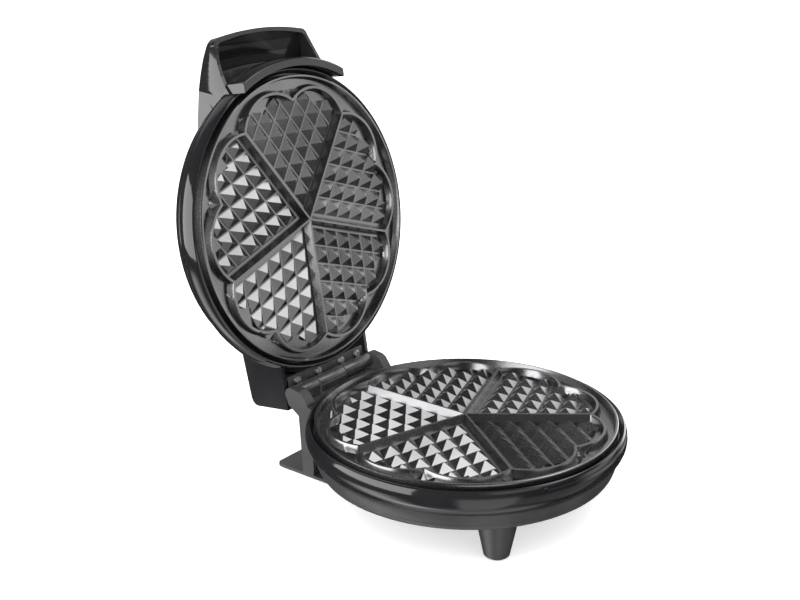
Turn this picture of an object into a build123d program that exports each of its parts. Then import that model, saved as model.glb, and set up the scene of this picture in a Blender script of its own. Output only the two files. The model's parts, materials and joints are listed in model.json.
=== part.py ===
"""Five-heart waffle maker, opened flat enough to load.

Row frame: millimetres, +Z up, Z = 0 on the table, +X to the user's right, -Y towards the user.
Every sub-part is drawn in the plate frame, whose origin is the centre of the lower cooking plate
on the mating plane, with the lid shut.  settle() then carries the base parts to the row frame,
and raise_lid() also swings the lid parts open about the hinge.
"""
from build123d import *
import math
import os

# ---- driving dimensions -------------------------------------------------------------------------
MATE_HEIGHT = 58.0        # mating plane above the table
PLATE_Y = -38.87          # plate centre in the row frame, so that the open object is centred
OPEN_ANGLE = 98.5         # lid opening, back stop to shut
HINGE_Y = 110.6           # hinge axis in the plate frame
HINGE_Z = -0.7

# cooking plates
PLATE_R = 96.5
RIM_WIDTH = 1.7
FACE_GAP = 0.25           # each plate stops this far short of the mating plane
FLOOR_DEPTH = 5.0         # wells and outer gutter
SKIN = 2.8                # plate thickness under the wells
HEARTS = 5
LOBE_CENTRE_R = 59.0
LOBE_R = 30.0
RIDGE_TOP = 1.7
RIDGE_DRAFT = 1.5         # how far each ridge wall spreads from top to foot
DIVIDER_TOP = 1.4
DIVIDER_FOOT = 6.0
STUD_PITCH = 12.0         # between the lattice lines, measured square to them
STUD_START = 4.5          # first lattice line from the middle of a divider
STUD_DEPTH = 0.9          # stud tips below the mating plane
STUD_TIP = 0.8
STUD_GROOVE = 1.0
BOSS_R = 4.5
BOSS_RING_R = 70.0
BOSS_END = -15.2

# housings
RING_R = 102.5
RING_TOP = -2.6
RING_END = -19.6
WALL_R = 96.4
WALL = 2.2
SHELL_END = -26.0
COVER_Z = -31.5
LEDGE_R = 90.0
POST_RING_R = 90.0
POST_R = 3.0
DOME_TOP = 44.6
FIT = 0.15                # gap between parts that are screwed or clipped together

# heating
ELEMENT_R = 52.0
TUBE_R = 3.2
ELEMENT_GAP = 40.0        # open part of the loop, degrees
PAN_R = 84.0
PAN_SKIN = 0.7

# hinge
BARREL_R = 4.85
PIN_R = 2.0
TOWER_R = 5.1
TOWER_IN = 36.8
LEAF_SCREW_Y = 104.6
STAND_HALF = 44.5

# where the mains lead enters
GLAND_X = 20.0
GLAND_Z = -24.2
GLAND_R = 4.0
CORD_HOLE_R = 3.2

# rear stand and feet
FOOT_R = 77.0
FOOT_ANGLE = 229.0
FOOT_TOP_R = 13.0
FOOT_END_R = 7.8
PAD = 1.0
STAND_BACK = 127.0
STAND_FRONT = 76.0
SHEET = 2.2

# handle
HANDLE_HALF = 50.0
HANDLE_WALL = 2.6
COLLAR_R = 107.0
COLLAR_IN = 101.6
COLLAR_HALF = 47.4
COLLAR_Z = -5.6           # front face of the collar, measured from the mating plane with the lid shut


# ---- helpers ------------------------------------------------------------------------------------
def settle(shape):
    """Plate frame to row frame."""
    return Pos(0, PLATE_Y, MATE_HEIGHT) * shape


def raise_lid(shape):
    """A lid part drawn shut, swung open about the hinge and carried to the row frame."""
    to_axis = Pos(0, -HINGE_Y, -HINGE_Z)
    back = Pos(0, HINGE_Y, HINGE_Z)
    return settle(back * Rot(-OPEN_ANGLE, 0, 0) * to_axis * shape)


def flip(shape):
    """A part drawn hanging below the mating plane, turned over to stand above it."""
    return Rot(0, 180, 0) * shape


def polar(radius, degrees, z=0.0):
    angle = math.radians(degrees)
    return Pos(radius * math.cos(angle), radius * math.sin(angle), z)


def rod(radius, low, high):
    """Upright cylinder between two heights."""
    return Pos(0, 0, (low + high) / 2) * Cylinder(radius, high - low)


def cross_rod(radius, left, right):
    """Cylinder along X on the hinge axis."""
    middle = Pos((left + right) / 2, HINGE_Y, HINGE_Z)
    return middle * Rot(0, 90, 0) * Cylinder(radius, right - left)


def block(x, y, z):
    """Box from three (low, high) pairs."""
    size = Box(x[1] - x[0], y[1] - y[0], z[1] - z[0])
    return Pos(sum(x) / 2, sum(y) / 2, sum(z) / 2) * size


def turned(*points):
    """Solid of revolution about Z from an (r, z) outline."""
    outline = Plane.XZ * make_face(Polyline(*points, close=True))
    return revolve(outline, Axis.Z, 360)


def side_prism(half_width, *points):
    """Prism along X from a (y, z) outline, centred on X = 0."""
    outline = Plane.YZ * make_face(Polyline(*points, close=True))
    return Pos(-half_width, 0, 0) * extrude(outline, amount=2 * half_width, dir=(1, 0, 0))


def fused(shapes):
    shapes = list(shapes)
    return shapes[0].fuse(*shapes[1:]) if len(shapes) > 1 else shapes[0]


def ring_of(shape, radius, angles, z=0.0):
    """Copies of an upright shape round the plate centre."""
    return [polar(radius, angle, z) * shape for angle in angles]


def heart_angles():
    """Directions of the heart notches; the first points at the user."""
    return [270 + 360 / HEARTS * i for i in range(HEARTS)]


# ---- cooking plates -----------------------------------------------------------------------------
def flower(offset_low, offset_high, low, high):
    """Ten-lobed drafted solid: each lobe is a cone, and a disc fills the middle."""
    height = high - low
    middle = (low + high) / 2
    lobe = Cone(LOBE_R + offset_low, LOBE_R + offset_high, height)
    angles = [90 + 180 / HEARTS * (i + 0.5) for i in range(2 * HEARTS)]
    lobes = ring_of(lobe, LOBE_CENTRE_R, angles, middle)
    return fused([Pos(0, 0, middle) * Cylinder(LOBE_CENTRE_R + 10, height)] + lobes)


def divider():
    """Drafted rib from the plate centre to the ridge, along +X."""
    half_foot = DIVIDER_FOOT / 2
    half_top = DIVIDER_TOP / 2
    section = Polyline(
        (-half_foot, -FLOOR_DEPTH - 0.5),
        (half_foot, -FLOOR_DEPTH - 0.5),
        (half_foot, -FLOOR_DEPTH),
        (half_top, -FACE_GAP),
        (-half_top, -FACE_GAP),
        (-half_foot, -FLOOR_DEPTH),
        close=True,
    )
    length = LOBE_CENTRE_R * math.cos(math.pi / (2 * HEARTS)) + 23.0
    return extrude(Plane.YZ * make_face(section), amount=length, dir=(1, 0, 0))


def stud(lean):
    """One four-sided pyramid on a rhombic base, with its tip cut off flat."""
    def rhombus(width, z):
        side = width / math.sin(lean) / 2
        along = (side, 0)
        across = (side * math.cos(lean), side * math.sin(lean))
        corners = [
            (i * along[0] + j * across[0], i * along[1] + j * across[1])
            for i, j in ((1, 1), (-1, 1), (-1, -1), (1, -1))
        ]
        return Pos(0, 0, z) * make_face(Polyline(*corners, close=True))
    base = rhombus(STUD_PITCH - STUD_GROOVE, -FLOOR_DEPTH)
    tip = rhombus(STUD_TIP, -STUD_DEPTH)
    foot = extrude(base, amount=0.5, dir=(0, 0, -1))
    return loft([base, tip]) + foot


def heart_studs():
    """Studs of one heart, on lattice lines parallel to its two dividers, one of them +X."""
    lean = 2 * math.pi / HEARTS
    pyramid = stud(lean)
    step = STUD_PITCH / math.sin(lean)
    start = (STUD_START + STUD_PITCH / 2) / math.sin(lean)
    studs = []
    for i in range(7):
        for j in range(7):
            a = start + i * step
            b = start + j * step
            x = a + b * math.cos(lean)
            y = b * math.sin(lean)
            if math.hypot(x, y) < PLATE_R - 4:
                studs.append(Pos(x, y, 0) * pyramid)
    return studs


def cooking_plate():
    """Non-stick plate: gutter, flower ridge, dividers, studs, and screw bosses on its back."""
    rim_in = PLATE_R - RIM_WIDTH
    bottom = -FLOOR_DEPTH - SKIN
    dish = turned(
        (0, bottom), (PLATE_R - 1.2, bottom), (PLATE_R, bottom + 1.2), (PLATE_R, -FACE_GAP - 0.5),
        (PLATE_R - 0.5, -FACE_GAP), (rim_in, -FACE_GAP), (rim_in - 1.2, -FLOOR_DEPTH), (0, -FLOOR_DEPTH),
    )
    half = RIDGE_TOP / 2
    outer = flower(half + RIDGE_DRAFT, half, -FLOOR_DEPTH, -FACE_GAP)
    inner = flower(-half - RIDGE_DRAFT, -half, -FLOOR_DEPTH, -FACE_GAP)
    well = flower(-half - RIDGE_DRAFT + 0.1, -half, -FLOOR_DEPTH - 1, -FACE_GAP)
    ribs = [Rot(0, 0, angle + 180) * divider() for angle in heart_angles()]
    # one heart's studs, trimmed to the well, then repeated
    heart = [stud_solid & well for stud_solid in heart_studs()]
    heart = [piece for piece in heart if piece is not None and piece.volume > 1.0]
    first = 90 - 360 / HEARTS
    studs = [
        Rot(0, 0, first + 360 / HEARTS * k) * piece
        for k in range(HEARTS)
        for piece in heart
    ]
    plate = dish.fuse(outer - inner, *ribs, *studs)
    bosses = ring_of(rod(BOSS_R, BOSS_END, bottom + 0.5), BOSS_RING_R, heart_angles())
    holes = ring_of(rod(1.95, BOSS_END - 1, BOSS_END + 6.5), BOSS_RING_R, heart_angles())
    plate = plate.fuse(*bosses)
    return plate.cut(*holes)


def heating_element():
    """Tubular loop against the back of a plate, with two cold ends turned down."""
    z = -FLOOR_DEPTH - SKIN - TUBE_R - 0.05
    sweep_angle = 360 - ELEMENT_GAP
    section = Plane.XZ * (Pos(ELEMENT_R, z) * Circle(TUBE_R))
    loop = Rot(0, 0, 90 + ELEMENT_GAP / 2) * revolve(section, Axis.Z, sweep_angle)
    parts = [loop]
    for side in (-1, 1):
        place = polar(ELEMENT_R, 90 + side * ELEMENT_GAP / 2)
        parts.append(place * Pos(0, 0, z) * Sphere(TUBE_R))
        parts.append(place * rod(TUBE_R, z - 7.5, z))
        parts.append(place * rod(1.2, z - 11.5, z - 7.5))
    return fused(parts)


def reflector():
    """Sheet-steel pan behind the element, screwed to the plate bosses."""
    low = BOSS_END - PAN_SKIN
    pan = turned(
        (0, low), (PAN_R, low), (PAN_R, -10.5), (PAN_R - PAN_SKIN, -10.5),
        (PAN_R - PAN_SKIN, BOSS_END), (0, BOSS_END),
    )
    holes = ring_of(rod(2.2, low - 1, BOSS_END + 1), BOSS_RING_R, heart_angles())
    tails = (90 - ELEMENT_GAP / 2, 90 + ELEMENT_GAP / 2)
    holes += ring_of(rod(TUBE_R + 1.0, low - 1, BOSS_END + 1), ELEMENT_R, tails)
    return pan.cut(*holes)


def screw(head_r, head_h, shank_r, length, drive_r):
    """Pan-head screw pointing up, its head seated just under Z = 0, with a cross recess."""
    head = rod(head_r, -head_h, 0)
    shank = rod(shank_r, -0.2, length)
    slot = Box(2 * drive_r, 0.9, 1.6) + Box(0.9, 2 * drive_r, 1.6)
    return (head + shank) - Pos(0, 0, -head_h) * slot


def plate_screws():
    one = screw(3.6, 2.3, 1.85, 6.0, 1.9)
    return ring_of(one, BOSS_RING_R, heart_angles(), BOSS_END - PAN_SKIN)


# ---- housings -----------------------------------------------------------------------------------
def ring_outline():
    """Outer side of a housing ring, from its top edge to its foot."""
    return [
        (99.0, -3.4), (99.4, -2.8), (100.1, RING_TOP), (101.0, -3.6), (101.7, -5.4), (102.3, -7.6),
        (RING_R, -9.8), (102.2, -12.2), (101.2, -14.6), (99.6, -16.8), (98.2, -18.2), (97.4, RING_END),
    ]


def housing_ring():
    """Rolled ring round a plate, with the ledge that carries the plate and five screw posts."""
    inside = [
        (94.0, RING_END), (94.0, -17.6), (98.0, -14.6), (99.8, -12.0), (99.8, -9.8),
        (LEDGE_R, -9.8), (LEDGE_R, -7.8 - FIT), (97.6, -7.8 - FIT), (97.6, -4.6),
    ]
    ring = turned(*ring_outline(), *inside)
    post = rod(POST_R, -24.0, -9.6)
    hole = rod(1.3, -25.0, -14.0)
    ring = ring.fuse(*ring_of(post, POST_RING_R, heart_angles()))
    return ring.cut(*ring_of(hole, POST_RING_R, heart_angles()))


def base_ring():
    """Ring of the base, notched at the front where the lid's collar comes down."""
    low = COLLAR_Z - 0.5
    notch = turned((COLLAR_IN - 0.4, low), (RING_R + 2, low), (RING_R + 2, 2), (COLLAR_IN - 0.4, 2))
    return housing_ring() - (notch & block((-COLLAR_HALF - 0.6, COLLAR_HALF + 0.6), (-130, -60), (-10, 5)))


def base_outline():
    """Outer side of the base below its ring."""
    return [(97.0, RING_END - FIT), (96.8, -22.0), (WALL_R, SHELL_END)]


def cover_outline():
    """Turned-in edge of the bottom cover."""
    return [(96.2, SHELL_END - FIT), (95.6, -28.2), (94.6, -29.8), (93.0, -30.9), (90.5, COVER_Z)]


def base_envelope(gap):
    """Everything inside the base's outer surface, grown by a gap."""
    points = ring_outline()[2:] + base_outline() + cover_outline()
    grown = [(r + gap, z) for r, z in points]
    return turned((0, RING_TOP + gap), *grown, (90.5, COVER_Z - gap), (0, COVER_Z - gap))


def gland_hole(radius):
    """Hole for the cord gland, through the rear wall and the stand."""
    return Pos(GLAND_X, 98, GLAND_Z) * Rot(90, 0, 0) * Cylinder(radius, 30)


def base_shell():
    """Matte bowl wall between the ring and the bottom cover."""
    outer = base_outline()
    inner = [(r - WALL, z) for r, z in reversed(outer)]
    lip = [(WALL_R - WALL, SHELL_END), (94.2, -20.6), (94.2, RING_END - FIT)]
    wall = turned(*outer, *lip)
    inner_edge = inner[0][0]
    stiffener = turned(
        (inner_edge - 0.9, -21.8), (inner_edge + 0.6, -21.8), (inner_edge + 0.6, -20.6),
        (inner_edge - 0.9, -20.6),
    )
    return (wall + stiffener) - gland_hole(GLAND_R + 0.1)


def base_cover():
    """Matte bottom: dished edge, rim inside the wall, screw cups and cooling slots."""
    outer = cover_outline()
    dish = turned(
        *outer, (0, COVER_Z), (0, COVER_Z + WALL), (90.0, COVER_Z + WALL),
        (92.4, -28.4), (92.4, -24.4), (94.0, -24.4), (94.0, SHELL_END - FIT),
    )
    cups = ring_of(rod(5.0, COVER_Z, -24.0 - FIT), POST_RING_R - 1.5, heart_angles())
    cup_holes = ring_of(rod(3.4, COVER_Z - 1, -26.5), POST_RING_R, heart_angles())
    screw_holes = ring_of(rod(1.7, -27.0, -22.0), POST_RING_R, heart_angles())
    slot = Box(16, 2.4, 8)
    slots = [
        polar(radius, angle, COVER_Z) * Rot(0, 0, angle + 90) * slot
        for radius in (30, 38, 46)
        for angle in range(0, 360, 45)
    ]
    keep = turned((0, COVER_Z), *reversed(cover_outline()), (94.0, SHELL_END), (94.0, -20), (0, -20))
    cover = dish.fuse(*cups) & keep
    gland_clear = Pos(GLAND_X, 92, GLAND_Z) * Box(11, 10, 9)
    lug_holes = [Pos(side * 30, 80, COVER_Z) * Cylinder(1.7, 8) for side in (-1, 1)]
    foot_holes = [polar(FOOT_R, angle, COVER_Z) * Cylinder(1.9, 8) for angle in foot_angles()]
    return cover.cut(*cup_holes, *screw_holes, *slots, gland_clear, *lug_holes, *foot_holes)


def cover_screws():
    one = screw(2.9, 1.8, 1.2, 9.0, 1.5)
    return ring_of(one, POST_RING_R, heart_angles(), -26.5)


# ---- feet and rear stand ------------------------------------------------------------------------
def foot_angles():
    return (FOOT_ANGLE, 540 - FOOT_ANGLE)


def table():
    return -MATE_HEIGHT


def front_foot(angle):
    """Tapered round foot under the front edge, hollowed for its screw."""
    low = table() + PAD
    high = COVER_Z - FIT
    cone = Cone(FOOT_END_R, FOOT_TOP_R, high - low)
    cone = fillet(cone.edges().sort_by(Axis.Z)[0], 1.2)
    foot = Pos(0, 0, (low + high) / 2) * cone
    pocket = rod(4.2, low - 1, high - 3.0)
    foot = foot - pocket - rod(1.9, low, high + 1)
    return polar(FOOT_R, angle) * foot


def foot_screws():
    one = screw(3.4, 2.2, 1.75, 10.0, 1.8)
    return [polar(FOOT_R, angle, COVER_Z - FIT - 3.0) * one for angle in foot_angles()]


def front_pads():
    """Rubber discs that plug the pockets of the front feet."""
    pad = rod(5.9, table(), table() + PAD) + rod(4.1, table() + PAD, table() + PAD + 3)
    return [polar(FOOT_R, angle) * pad for angle in foot_angles()]


def rear_pads():
    pad = rod(5.0, table(), table() + PAD)
    return [Pos(side * 34, y, 0) * pad for side in (-1, 1) for y in (86, 117)]


def hinge_tower(left, right):
    """Ear of the stand: round about the hinge pin behind, sloped down to the base in front."""
    profile = Polyline(
        (93.0, -12.0), (96.4, -4.0), (100.4, 1.6), (103.5, 3.4), (HINGE_Y, HINGE_Z + TOWER_R),
        (HINGE_Y, HINGE_Z), (HINGE_Y + TOWER_R, HINGE_Z), (HINGE_Y + 2.5, -8.0), (104.4, -14.0), close=True,
    )
    web = extrude(Plane.YZ * make_face(profile), amount=right - left, dir=(1, 0, 0))
    ear = Pos(left, 0, 0) * web + cross_rod(TOWER_R, left, right)
    return ear


def stand_foot():
    """Flat foot plate of the rear stand."""
    low = table() + PAD
    face = fillet(Rectangle(2 * STAND_HALF, STAND_BACK - STAND_FRONT).vertices(), 4.0)
    plate = Pos(0, (STAND_BACK + STAND_FRONT) / 2, low) * extrude(face, amount=SHEET)
    return plate.cut(*[Pos(x, 97.0, low) * Cylinder(1.3, 8) for x in (-30, 30)])


def rear_stand():
    """Rear leg in one moulding: channel-shaped panel, hinge ears and two fixing lugs."""
    low = table() + PAD + SHEET
    side = side_prism(STAND_HALF, (92.6, low), (102.2, low), (104.6, -8.0), (104.6, -6.0), (92.6, -6.0))
    hollow = side_prism(
        STAND_HALF - 2.6, (80.0, low + SHEET), (99.9, low + SHEET), (102.0, -14.0), (80.0, -14.0),
    )
    ears = [hinge_tower(TOWER_IN, STAND_HALF), hinge_tower(-STAND_HALF, -TOWER_IN)]
    lugs = [block((x - 7, x + 7), (72, 100), (COVER_Z - 3 - FIT, COVER_Z - FIT)) for x in (-30, 30)]
    stop = block((-36, -20), (103, HINGE_Y - 4.75 - 0.3), (-13.5, -7.4))
    stand = (side - hollow).fuse(*ears, *lugs, stop) - base_envelope(0.2)
    # the leaf seat, the bore for the pin, blind in the left ear, and the gland and screw holes
    seat = block((-20.5, 36.3), (90, 112), (-7.4, 6))
    lid_arm = block((-36.3, -20.5), (90, 118), (-6.0, 6))
    bore = cross_rod(PIN_R + 0.03, -STAND_HALF + 1.6, 60)
    screw_holes = [Pos(x, 80, COVER_Z - 2) * Cylinder(1.7, 8) for x in (-30, 30)]
    screw_holes += [Pos(x, 97.0, low) * Cylinder(1.2, 8) for x in (-30, 30)]
    stand = stand.cut(seat, lid_arm, bore, gland_hole(GLAND_R + 0.1), *screw_holes)
    return max(stand.solids(), key=lambda solid: solid.volume)


def stand_screws():
    lug_screw = screw(3.0, 1.9, 1.55, 5.0, 1.6)
    foot_screw = screw(2.8, 0.8, 1.1, 4.2, 1.4)
    upper = [Pos(x, 80, COVER_Z - 3 - FIT) * lug_screw for x in (-30, 30)]
    lower = [Pos(x, 97.0, table() + PAD) * foot_screw for x in (-30, 30)]
    return upper + lower


def cord_gland():
    """Flanged bush where the mains lead would enter."""
    shank = Pos(0, 0, -4.0) * Cylinder(GLAND_R, 22)
    flange = Pos(0, 0, -16.0) * Cylinder(GLAND_R + 2.2, 3)
    bush = shank + flange - Cylinder(CORD_HOLE_R, 60)
    return Pos(GLAND_X, 92, GLAND_Z) * Rot(90, 0, 0) * bush


# ---- hinge --------------------------------------------------------------------------------------
def hinge_pin():
    return cross_rod(PIN_R, -STAND_HALF + 1.8, STAND_HALF - 0.3)


def base_leaf():
    """Leaf on the stand, with one knuckle left of centre."""
    left = -19.6
    right = 6.6
    leaf = block((left, 36.0), (103.6, 109.0), (-7.3, -5.95))
    web = block((left, right), (105.0, 113.0), (-7.3, HINGE_Z))
    knuckle = cross_rod(BARREL_R, left, right)
    flange = block((left, 36.0), (102.8, 104.6), (-7.3, -5.95))
    body = leaf + web + knuckle + flange - cross_rod(PIN_R + 0.05, -60, 60)
    return body.cut(*[Pos(x, 107.0, -7) * Cylinder(1.3, 6) for x in (14, 29)]) - base_envelope(0.2)


def lid_leaf():
    """Leaf inside the hinge cover, with a knuckle right of centre and an arm with the back stop."""
    plate = block((-38, 38), (100.5, 118), (5.2, 6.9))
    knuckle = cross_rod(BARREL_R, 7.4, 36.0)
    knuckle_web = block((7.4, 36.0), (HINGE_Y - 3.2, HINGE_Y + BARREL_R), (HINGE_Z, 5.4))
    arm = cross_rod(BARREL_R, -36.0, -20.6)
    arm_web = block((-36.0, -20.6), (HINGE_Y - 3.2, HINGE_Y + BARREL_R), (HINGE_Z, 5.4))
    # drawn with the lid open, where it hangs behind the stand, then turned to the shut pose
    heel = block((-36.0, -20.6), (-4.75, -1.4), (-10.5, 0))
    heel = Pos(0, HINGE_Y, HINGE_Z) * Rot(OPEN_ANGLE, 0, 0) * heel
    body = plate + knuckle + knuckle_web + arm + arm_web + heel
    body = body - cross_rod(PIN_R + 0.05, -60, 60)
    body = body.cut(*[Pos(x, LEAF_SCREW_Y, 6) * Cylinder(1.6, 6) for x in leaf_screw_x()])
    return body - lid_envelope(0.3)


def leaf_screw_x():
    return (-31, -10, 14, 31)


def lid_leaf_screws():
    one = screw(2.6, 1.6, 1.25, 7.0, 1.4)
    return [Pos(x, LEAF_SCREW_Y, 5.2) * one for x in leaf_screw_x()]


# ---- lid ----------------------------------------------------------------------------------------
def dome_outline():
    """Outer side of the lid above its ring."""
    return [
        (97.0, -RING_END + FIT), (96.5, 22.6), (95.4, 25.0), (93.4, 27.6), (90.4, 30.6), (86.4, 33.8),
        (81.0, 36.8), (74.0, 39.4), (64.0, 41.6), (48.0, 43.4), (26.0, 44.4), (0, DOME_TOP),
    ]


def lid_envelope(gap):
    ring = [(r + gap, -z) for r, z in ring_outline()[2:]]
    dome = [(r + gap, z + gap * 0.5) for r, z in dome_outline()[:-1]]
    return turned((0, -RING_TOP - gap), *ring, *dome, (0, DOME_TOP + gap * 0.5))


def lid_dome():
    """Gloss lid shell with a screw post over each post of its ring and two lamp windows."""
    outer = dome_outline()
    inner = [(max(r - WALL, 0), z - WALL * (1 - r / 160)) for r, z in reversed(outer[4:])]
    inner += [(92.6, 25.4), (94.2, 22.4), (94.2, -RING_END + FIT)]
    shell = turned(*outer, *inner)
    post = rod(2.9, 24.0 + FIT, 32.0) - rod(1.25, 20, 29.0)
    posts = ring_of(post, POST_RING_R - 1.2, heart_angles())
    keep = lid_envelope(-0.4)
    posts = [item & keep for item in posts]
    shell = shell.fuse(*posts)
    windows = [Pos(x, lamp_y(), 44) * Cylinder(3.3, 12) for x in lamp_x()]
    wire_way = Pos(0, 92, 26) * Box(24, 18, 9)
    return shell.cut(wire_way, *windows)


def lamp_x():
    return (-9, 9)


def lamp_y():
    return -50.0


def lamp_lens(x):
    """Domed lens in its window, with a collar inside the shell."""
    lens = rod(3.1, 39.8, 43.6) + (Pos(0, 0, 43.6) * Sphere(3.1) & rod(4, 43.6, 45.2))
    flange = rod(4.3, 38.8, 39.9)
    return Pos(x, lamp_y(), 0) * (lens + flange)


def lamp_holders():
    """Neon holders clipped behind the lenses."""
    tube = rod(3.8, 28.0, 38.7) - rod(2.6, 29.5, 39)
    return [Pos(x, lamp_y(), 0) * tube for x in lamp_x()]


def hinge_cover():
    """Box behind the lid that houses the hinge leaf; its top runs into the dome."""
    outer = side_prism(
        44.0, (60, 4.8), (122.2, 4.8), (121.8, 33.0), (121.0, 35.8), (119.0, 37.8), (116.0, 38.6),
        (60, 42.4),
    )
    inner = side_prism(
        41.4, (50, 0), (119.7, 0), (119.4, 32.6), (118.2, 35.0), (115.6, 36.1), (50, 40.0),
    )
    bosses = [Pos(x, LEAF_SCREW_Y, 0) * rod(3.2, 6.9, 37.0) for x in leaf_screw_x()]
    holes = [Pos(x, LEAF_SCREW_Y, 0) * rod(1.3, 5, 14.0) for x in leaf_screw_x()]
    cover = (outer - inner).fuse(*bosses).cut(*holes)
    cover = cover - lid_envelope(0.2)
    wire_way = Pos(0, 96, 26) * Box(24, 14, 9)
    cover = cover - wire_way
    return max(cover.solids(), key=lambda solid: solid.volume)


def front_collar():
    """Curved lip under the front of the lid, standing proud of the plate."""
    band = turned(
        (COLLAR_IN, COLLAR_Z), (COLLAR_R - 0.8, COLLAR_Z), (COLLAR_R, COLLAR_Z + 0.8), (COLLAR_R, 11.0),
        (COLLAR_IN, 12.6),
    )
    keep = block((-COLLAR_HALF, COLLAR_HALF), (-130, -60), (-10, 20))
    return (band & keep) - lid_envelope(FIT)


# ---- handle -------------------------------------------------------------------------------------
def handle_plan(inset):
    """Plan of the handle: sides drawn in towards a bowed front, with round corners."""
    wide, waist, mouth, shoulder = [half - inset for half in (49.6, 48.8, 43.6, 39.6)]
    mouth_y = -120.5 + inset * 0.6
    shoulder_y = -125.2 + inset
    half_plan = [
        Line((wide, -50), (waist, -94)),
        ThreePointArc((waist, -94), (waist - 1.9, -107.5), (mouth, mouth_y)),
        ThreePointArc((mouth, mouth_y), (mouth - 1.3, mouth_y - 2.9 + inset * 0.2), (shoulder, shoulder_y)),
    ]
    mirrored = [mirror(edge, about=Plane.YZ) for edge in reversed(half_plan)]
    bow = ThreePointArc((shoulder, shoulder_y), (0, -128.8 + inset), (-shoulder, shoulder_y))
    rear = Line((-wide, -50), (wide, -50))
    return make_face([*half_plan, bow, *mirrored, rear])


def handle_hood():
    """Hood-shaped handle that grows out of the dome, hollow underneath for the fingers."""
    plan = Pos(0, 0, -5) * extrude(handle_plan(0), amount=60)
    profile = side_prism(
        60, (-56, 43.2), (-68, 42.0), (-76, 40.2), (-100, 33.4), (-113, 29.8), (-120, 27.4), (-130, 22.8),
        (-130, 19.8), (-121, 19.4), (-115, 17.9), (-108.8, 16.0), (-101.5, 13.2), (-94, 9.6), (-88, 5.8),
        (-84, 3.0), (-56, 3.0),
    )
    hollow_plan = Pos(0, 0, -10) * extrude(handle_plan(HANDLE_WALL), amount=60)
    hollow_profile = side_prism(
        60, (-50, 40.6), (-68, 39.2), (-76, 37.4), (-100, 30.7), (-113, 27.1), (-120, 24.8), (-130, 20.4),
        (-130, -5), (-50, -5),
    )
    collar_seat = turned(
        (COLLAR_IN - FIT, COLLAR_Z), (COLLAR_R + FIT, COLLAR_Z), (COLLAR_R + FIT, 11.2),
        (COLLAR_IN - FIT, 12.8),
    )
    collar_seat &= block((-COLLAR_HALF - FIT, COLLAR_HALF + FIT), (-130, -60), (-10, 20))
    hood = (plan & profile) - (hollow_plan & hollow_profile)
    hood = hood - collar_seat - lid_envelope(0.2)
    return max(hood.solids(), key=lambda solid: solid.volume)


def handle_grip():
    """Insert under the hood: its bowed front edge is what the fingers meet."""
    inset = HANDLE_WALL + FIT
    plan = Pos(0, 0, -5) * extrude(handle_plan(inset), amount=60)
    edge = Pos(0, -106.6 + 250.0, 0) * Cylinder(250.0, 120)
    profile = side_prism(60, (-80, 21.4), (-104.5, 17.8), (-110, 17.8), (-110, 27.0), (-100, 30.1), (-80, 35.6))
    grip = (plan & profile & edge) - rod(98.4, 0, 50)
    return max(grip.solids(), key=lambda solid: solid.volume)


# ---- electrical parts in the base ---------------------------------------------------------------
def thermostat():
    """Ceramic bimetal thermostat under the reflector."""
    top = BOSS_END - PAN_SKIN
    return Pos(0, 10, 0) * (rod(8.0, top - 6.0, top - 0.6) + rod(5.0, top - 7.5, top - 6.0))


def thermostat_bracket():
    top = BOSS_END - PAN_SKIN
    strap = block((-15, 15), (4, 16), (top - 0.6, top)) + block((-15, -13), (6, 14), (top - 4, top))
    return strap


def thermal_fuse(x, y):
    """Fuse in its sleeve, lying against the reflector."""
    top = BOSS_END - PAN_SKIN
    return Pos(x, y, top - 2.5) * Rot(0, 90, 0) * Cylinder(2.3, 24)


def terminal_block():
    """Screw terminals for the incoming lead, on the bottom cover."""
    low = COVER_Z + WALL
    body = block((4, 36), (58, 72), (low, low + 9))
    pits = [Pos(x, 65, low + 8) * Cylinder(2.4, 6) for x in (10, 20, 30)]
    return body.cut(*pits)


# ---- the assembly -------------------------------------------------------------------------------
def base_parts():
    left, right = foot_angles()
    return {
        "base_shell": base_shell(),
        "base_ring": base_ring(),
        "base_cover": base_cover(),
        "cover_screws": cover_screws(),
        "front_foot_left": front_foot(left),
        "front_foot_right": front_foot(right),
        "foot_screws": foot_screws(),
        "front_pads": front_pads(),
        "rear_stand": rear_stand(),
        "stand_foot": stand_foot(),
        "stand_screws": stand_screws(),
        "rear_pads": rear_pads(),
        "cord_gland": cord_gland(),
        "hinge_leaf_base": base_leaf(),
        "hinge_pin": hinge_pin(),
        "lower_element": heating_element(),
        "lower_reflector": reflector(),
        "lower_plate_screws": plate_screws(),
        "thermostat": thermostat(),
        "thermostat_bracket": thermostat_bracket(),
        "thermal_fuse_lower": thermal_fuse(-36, -18),
        "terminal_block": terminal_block(),
    }


def lid_parts():
    low_lamp, high_lamp = lamp_x()
    return {
        "lid_dome": lid_dome(),
        "lid_ring": flip(housing_ring()),
        "upper_element": flip(heating_element()),
        "upper_reflector": flip(reflector()),
        "upper_plate_screws": [flip(item) for item in plate_screws()],
        "thermal_fuse_upper": flip(thermal_fuse(-36, -18)),
        "hinge_cover": hinge_cover(),
        "hinge_leaf_lid": lid_leaf(),
        "lid_leaf_screws": lid_leaf_screws(),
        "front_collar": front_collar(),
        "handle_hood": handle_hood(),
        "handle_grip": handle_grip(),
        "lamp_lens_power": lamp_lens(low_lamp),
        "lamp_lens_ready": lamp_lens(high_lamp),
        "lamp_holders": lamp_holders(),
    }


def solids_of(item):
    """Flat list of the solids in a shape or a list of shapes."""
    if isinstance(item, (list, tuple)):
        return [solid for piece in item for solid in solids_of(piece)]
    return list(item.solids())


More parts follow.
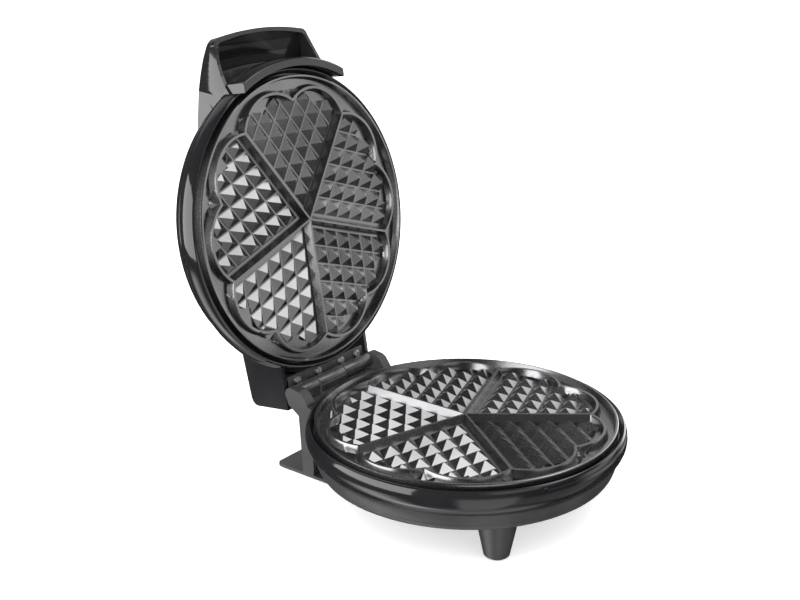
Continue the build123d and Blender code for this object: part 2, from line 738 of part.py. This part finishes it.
def write(name, item, place):
    solids = [place(solid) for solid in solids_of(item)]
    shape = solids[0] if len(solids) == 1 else Compound(children=solids)
    export_step(shape, os.path.join("parts", name + ".step"))
    box = shape.bounding_box()
    y_span = f"y {box.min.Y:8.2f} {box.max.Y:8.2f}"
    print(f"{name:22s} {len(solids):3d} {y_span} z {box.min.Z:8.2f} {box.max.Z:8.2f}")


def main():
    os.makedirs("parts", exist_ok=True)
    plate = cooking_plate()
    write("lower_plate", plate, settle)
    write("upper_plate", flip(plate), raise_lid)
    for name, item in base_parts().items():
        write(name, item, settle)
    for name, item in lid_parts().items():
        write(name, item, raise_lid)


main()
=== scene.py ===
import bpy
import json
import math
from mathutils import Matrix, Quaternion, Vector


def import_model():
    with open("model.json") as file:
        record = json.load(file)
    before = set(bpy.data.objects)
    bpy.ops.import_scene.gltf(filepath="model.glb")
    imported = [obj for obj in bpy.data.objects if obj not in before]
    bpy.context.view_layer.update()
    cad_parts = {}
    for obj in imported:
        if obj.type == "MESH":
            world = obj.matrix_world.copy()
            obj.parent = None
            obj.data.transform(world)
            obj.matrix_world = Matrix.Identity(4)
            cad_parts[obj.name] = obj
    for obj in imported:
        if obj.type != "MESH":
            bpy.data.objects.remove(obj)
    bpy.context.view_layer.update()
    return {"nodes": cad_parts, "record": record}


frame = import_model()
NODES = frame["nodes"]
scene = bpy.context.scene


# ---- node helpers -------------------------------------------------------------------------------
def new_material(name):
    """Principled material with its node tree, its shader and texture coordinates."""
    material = bpy.data.materials.new(name)
    material.use_nodes = True
    tree = material.node_tree
    shader = tree.nodes["Principled BSDF"]
    coords = tree.nodes.new("ShaderNodeTexCoord")
    return material, tree, shader, coords


def noise(tree, coords, scale, detail=3.0, roughness=0.5):
    node = tree.nodes.new("ShaderNodeTexNoise")
    node.inputs["Scale"].default_value = scale
    node.inputs["Detail"].default_value = detail
    node.inputs["Roughness"].default_value = roughness
    tree.links.new(coords.outputs["Object"], node.inputs["Vector"])
    return node.outputs["Fac"]


def ramp(tree, value, low, high, start=0.35, stop=0.65):
    """Maps a 0..1 value to low..high between two positions."""
    node = tree.nodes.new("ShaderNodeMapRange")
    node.inputs["From Min"].default_value = start
    node.inputs["From Max"].default_value = stop
    node.inputs["To Min"].default_value = low
    node.inputs["To Max"].default_value = high
    tree.links.new(value, node.inputs["Value"])
    return node.outputs["Result"]


def tint(tree, shader, factor, dark, light):
    """Base colour between dark and light, by a 0..1 factor."""
    node = tree.nodes.new("ShaderNodeMix")
    node.data_type = "RGBA"
    node.inputs["A"].default_value = (*dark, 1)
    node.inputs["B"].default_value = (*light, 1)
    tree.links.new(factor, node.inputs["Factor"])
    tree.links.new(node.outputs["Result"], shader.inputs["Base Color"])


def bump(tree, shader, height, strength, distance):
    node = tree.nodes.new("ShaderNodeBump")
    node.inputs["Strength"].default_value = strength
    node.inputs["Distance"].default_value = distance
    tree.links.new(height, node.inputs["Height"])
    tree.links.new(node.outputs["Normal"], shader.inputs["Normal"])


# ---- materials ----------------------------------------------------------------------------------
def gloss_black():
    """Polished dark plastic with faint smears."""
    material, tree, shader, coords = new_material("gloss_black")
    tone = ramp(tree, noise(tree, coords, 14.0), 0.0, 1.0)
    tint(tree, shader, tone, (0.006, 0.006, 0.007), (0.010, 0.010, 0.011))
    smear = noise(tree, coords, 45.0, 4.0, 0.6)
    tree.links.new(ramp(tree, smear, 0.07, 0.12), shader.inputs["Roughness"])
    shader.inputs["IOR"].default_value = 1.52
    bump(tree, shader, noise(tree, coords, 260.0, 1.0), 0.03, 0.0002)
    return material


def matte_black():
    """Grained dark plastic."""
    material, tree, shader, coords = new_material("matte_black")
    tone = ramp(tree, noise(tree, coords, 30.0, 4.0), 0.0, 1.0)
    tint(tree, shader, tone, (0.018, 0.018, 0.019), (0.028, 0.028, 0.029))
    grain = noise(tree, coords, 1800.0, 2.0, 0.6)
    tree.links.new(ramp(tree, grain, 0.36, 0.50), shader.inputs["Roughness"])
    bump(tree, shader, grain, 0.25, 0.0002)
    return material


def nonstick():
    """Dark satin coating over cast aluminium, with fine flake."""
    material, tree, shader, coords = new_material("nonstick")
    cloud = ramp(tree, noise(tree, coords, 22.0, 4.0), 0.0, 1.0)
    tint(tree, shader, cloud, (0.17, 0.17, 0.174), (0.23, 0.23, 0.234))
    flake = noise(tree, coords, 2600.0, 2.0, 0.7)
    tree.links.new(ramp(tree, flake, 0.20, 0.30), shader.inputs["Roughness"])
    shader.inputs["Metallic"].default_value = 1.0
    bump(tree, shader, flake, 0.12, 0.0001)
    return material


def plain_metal(name, dark, light, rough_low, rough_high, scale=180.0):
    """Bare metal with a faint mottle."""
    material, tree, shader, coords = new_material(name)
    tone = ramp(tree, noise(tree, coords, scale, 3.0), 0.0, 1.0)
    tint(tree, shader, tone, dark, light)
    shader.inputs["Metallic"].default_value = 1.0
    grain = noise(tree, coords, scale * 3, 3.0)
    tree.links.new(ramp(tree, grain, rough_low, rough_high), shader.inputs["Roughness"])
    return material


def hinge_grey():
    """Dark coated hinge metal."""
    material, tree, shader, coords = new_material("hinge_grey")
    tone = ramp(tree, noise(tree, coords, 90.0, 4.0), 0.0, 1.0)
    tint(tree, shader, tone, (0.055, 0.055, 0.057), (0.085, 0.085, 0.088))
    tree.links.new(ramp(tree, noise(tree, coords, 900.0, 2.0), 0.26, 0.36), shader.inputs["Roughness"])
    shader.inputs["Metallic"].default_value = 0.6
    return material


def plain_solid(name, dark, light, roughness, scale=120.0):
    """Non-metal with a faint mottle and grain."""
    material, tree, shader, coords = new_material(name)
    tone = ramp(tree, noise(tree, coords, scale, 3.0), 0.0, 1.0)
    tint(tree, shader, tone, dark, light)
    grain = noise(tree, coords, scale * 8, 2.0)
    tree.links.new(ramp(tree, grain, roughness - 0.05, roughness + 0.05), shader.inputs["Roughness"])
    bump(tree, shader, grain, 0.15, 0.0002)
    return material


MATERIALS = {
    "gloss_black": gloss_black(),
    "matte_black": matte_black(),
    "nonstick": nonstick(),
    "hinge_grey": hinge_grey(),
    "screw_steel": plain_metal("screw_steel", (0.45, 0.45, 0.46), (0.6, 0.6, 0.61), 0.22, 0.32),
    "sheet_steel": plain_metal("sheet_steel", (0.5, 0.5, 0.51), (0.62, 0.62, 0.63), 0.25, 0.4, 60.0),
    "element_steel": plain_metal("element_steel", (0.16, 0.15, 0.15), (0.28, 0.26, 0.25), 0.35, 0.5, 90.0),
    "rubber_pad": plain_solid("rubber_pad", (0.015, 0.015, 0.015), (0.028, 0.028, 0.028), 0.7),
    "ceramic_white": plain_solid("ceramic_white", (0.72, 0.70, 0.65), (0.82, 0.80, 0.76), 0.6),
    "terminal_plastic": plain_solid("terminal_plastic", (0.66, 0.65, 0.60), (0.74, 0.73, 0.69), 0.45),
    "fuse_sleeve": plain_solid("fuse_sleeve", (0.62, 0.60, 0.54), (0.74, 0.72, 0.66), 0.8, 400.0),
    "lens_red": plain_solid("lens_red", (0.42, 0.01, 0.01), (0.50, 0.015, 0.015), 0.1),
    "lens_green": plain_solid("lens_green", (0.01, 0.30, 0.05), (0.015, 0.36, 0.07), 0.1),
    "lamp_white": plain_solid("lamp_white", (0.72, 0.72, 0.70), (0.80, 0.80, 0.78), 0.5),
}

# Width of the softened edges, in metres, and the angle from which an edge counts as sharp.
EDGE_ROUND = {"nonstick": 0.00035, "gloss_black": 0.0005, "matte_black": 0.0005, "hinge_grey": 0.0003}
SHARP_DEGREES = 28
WELD_GAP = 0.000002


def dress(node, slot):
    """Gives a CAD node its material, and softens its edges."""
    piece = NODES[node]
    piece.data.materials.clear()
    piece.data.materials.append(MATERIALS[slot])
    weld = piece.modifiers.new("weld", "WELD")
    weld.merge_threshold = WELD_GAP
    if slot in EDGE_ROUND:
        bevel = piece.modifiers.new("edge", "BEVEL")
        bevel.width = EDGE_ROUND[slot]
        bevel.segments = 2
        bevel.limit_method = "ANGLE"
        bevel.angle_limit = math.radians(SHARP_DEGREES)
        bevel.harden_normals = False


for entry in frame["record"]["subparts"]:
    dress(entry["node"], entry["material_slot"])


# ---- floor, light and camera --------------------------------------------------------------------
def math_node(tree, operation, *values):
    """One Math node; each value is a number or a socket."""
    node = tree.nodes.new("ShaderNodeMath")
    node.operation = operation
    for socket, value in zip(node.inputs, values):
        if isinstance(value, (int, float)):
            socket.default_value = value
        else:
            tree.links.new(value, socket)
    return node.outputs["Value"]


def step(tree, value, start, stop):
    """Smooth rise from 0 at start to 1 at stop; start may be above stop."""
    node = tree.nodes.new("ShaderNodeMapRange")
    node.interpolation_type = "SMOOTHSTEP"
    low, high = min(start, stop), max(start, stop)
    node.inputs["From Min"].default_value = low
    node.inputs["From Max"].default_value = high
    node.inputs["To Min"].default_value = 0.0 if start < stop else 1.0
    node.inputs["To Max"].default_value = 1.0 if start < stop else 0.0
    tree.links.new(value, node.inputs["Value"])
    return node.outputs["Result"]


# Soft boxes round the object, as seen in its gloss. Turn about Z (0 in front, 90 at the right),
# half width and softness in degrees; lowest and highest sine of elevation, and their softness;
# strength.
SOFT_BOXES = (
    (158, 36, 14, 0.45, 0.95, 0.10, 0.8),
    (42, 30, 12, 0.60, 0.97, 0.10, 3.6),
    (-14, 24, 10, 0.36, 0.75, 0.10, 1.0),
    (110, 34, 10, -0.20, 0.16, 0.06, 3.2),
    (84, 30, 12, 0.16, 0.56, 0.06, 2.0),
    (46, 16, 10, -0.26, 0.22, 0.08, 1.25),
    (-128, 17, 17, -0.98, -0.44, 0.06, 3.2),
    (-40, 20, 4, -0.90, -0.04, 0.10, 1.25),
    (15, 35, 6, -0.80, -0.25, 0.10, 0.4),
    (0, 190, 5, -1.10, -0.90, 0.05, 0.6),
)
DIM = 0.04          # level of the studio between the boxes, in reflections
SURROUND = 1.5      # level of the world for the camera and for matte surfaces
FLOOR_HALF = 12.0
FLOOR_COLOUR = (0.93, 0.93, 0.93, 1)
FLOOR_GLOW = 0.28
CAMERA_TARGET = (0, 0.01311, 0.12399)
CAMERA_DISTANCE = 0.73574
CAMERA_DEGREES = (-51.85, 18.57, -0.69)      # azimuth, elevation, roll
SENSOR_MM = 36.0
LENS_MM = 51.135


def world():
    """White to the eye and to matte surfaces; a dim studio with soft boxes in reflections."""
    sky = bpy.data.worlds.new("studio")
    sky.use_nodes = True
    tree = sky.node_tree
    coords = tree.nodes.new("ShaderNodeTexCoord")
    split = tree.nodes.new("ShaderNodeSeparateXYZ")
    tree.links.new(coords.outputs["Generated"], split.inputs["Vector"])
    x, y, z = (split.outputs[axis] for axis in "XYZ")
    turn = math_node(tree, "ARCTAN2", x, math_node(tree, "MULTIPLY", y, -1.0))
    total = DIM
    for centre, half, soft, low, high, blur, strength in SOFT_BOXES:
        away = math_node(tree, "SUBTRACT", turn, math.radians(centre))
        away = math_node(tree, "ABSOLUTE", math_node(tree, "WRAP", away, math.pi, -math.pi))
        across = step(tree, away, math.radians(half + soft), math.radians(half - soft))
        above = step(tree, z, low - blur, low + blur)
        below = step(tree, z, high + blur, high - blur)
        upward = math_node(tree, "MULTIPLY", above, below)
        box = math_node(tree, "MULTIPLY", across, upward)
        box = math_node(tree, "MULTIPLY", box, strength)
        total = math_node(tree, "ADD", box, total)
    path = tree.nodes.new("ShaderNodeLightPath")
    glossy = path.outputs["Is Glossy Ray"]
    plain = math_node(tree, "MULTIPLY", math_node(tree, "SUBTRACT", 1.0, glossy), SURROUND)
    level = math_node(tree, "ADD", math_node(tree, "MULTIPLY", glossy, total), plain)
    background = tree.nodes["Background"]
    background.inputs["Color"].default_value = (1, 1, 1, 1)
    tree.links.new(level, background.inputs["Strength"])
    scene.world = sky


def floor():
    """Wide pale floor. The gloss doesn't see it: its reflections come from the soft boxes."""
    mesh = bpy.data.meshes.new("floor")
    corners = [(x * FLOOR_HALF, y * FLOOR_HALF, 0) for x, y in ((-1, -1), (1, -1), (1, 1), (-1, 1))]
    mesh.from_pydata(corners, [], [(0, 1, 2, 3)])
    piece = bpy.data.objects.new("floor", mesh)
    scene.collection.objects.link(piece)
    material, _, shader, _ = new_material("floor")
    shader.inputs["Base Color"].default_value = FLOOR_COLOUR
    shader.inputs["Roughness"].default_value = 0.9
    shader.inputs["Specular IOR Level"].default_value = 0.0
    shader.inputs["Emission Color"].default_value = (1, 1, 1, 1)
    shader.inputs["Emission Strength"].default_value = FLOOR_GLOW
    piece.data.materials.append(material)
    piece.visible_glossy = False


def soft_light(name, centre, size, power, target, in_gloss_only=False):
    """Rectangular light aimed at a target; one for the gloss only lights nothing else."""
    light = bpy.data.lights.new(name, "AREA")
    light.shape = "RECTANGLE"
    light.size, light.size_y = size
    light.energy = power
    piece = bpy.data.objects.new(name, light)
    piece.location = centre
    piece.rotation_mode = "QUATERNION"
    piece.rotation_quaternion = (Vector(target) - Vector(centre)).to_track_quat("-Z", "Y")
    piece.visible_glossy = in_gloss_only
    piece.visible_camera = False
    light.diffuse_factor = 0.0 if in_gloss_only else 1.0
    light.use_shadow = not in_gloss_only
    scene.collection.objects.link(piece)


def camera():
    azimuth, elevation, roll = (math.radians(degrees) for degrees in CAMERA_DEGREES)
    back = Vector((
        math.sin(azimuth) * math.cos(elevation),
        -math.cos(azimuth) * math.cos(elevation),
        math.sin(elevation),
    ))
    data = bpy.data.cameras.new("camera")
    data.sensor_width = SENSOR_MM
    data.lens = LENS_MM
    data.clip_start = 0.01
    piece = bpy.data.objects.new("camera", data)
    piece.rotation_mode = "QUATERNION"
    piece.location = Vector(CAMERA_TARGET) + back * CAMERA_DISTANCE
    piece.rotation_quaternion = (-back).to_track_quat("-Z", "Y") @ Quaternion((0, 0, 1), roll)
    scene.collection.objects.link(piece)
    scene.camera = piece


floor()
world()
camera()
scene.view_settings.view_transform = "Standard"
soft_light("overhead", (-0.2, 0.1, 1.6), (1.8, 1.8), 20.0, (0, 0, 0))
soft_light(
    "side_card", (-0.62, 0.33, 0.26), (0.85, 0.50), 6.6, (-0.05, 0.12, 0.25), in_gloss_only=True,
)
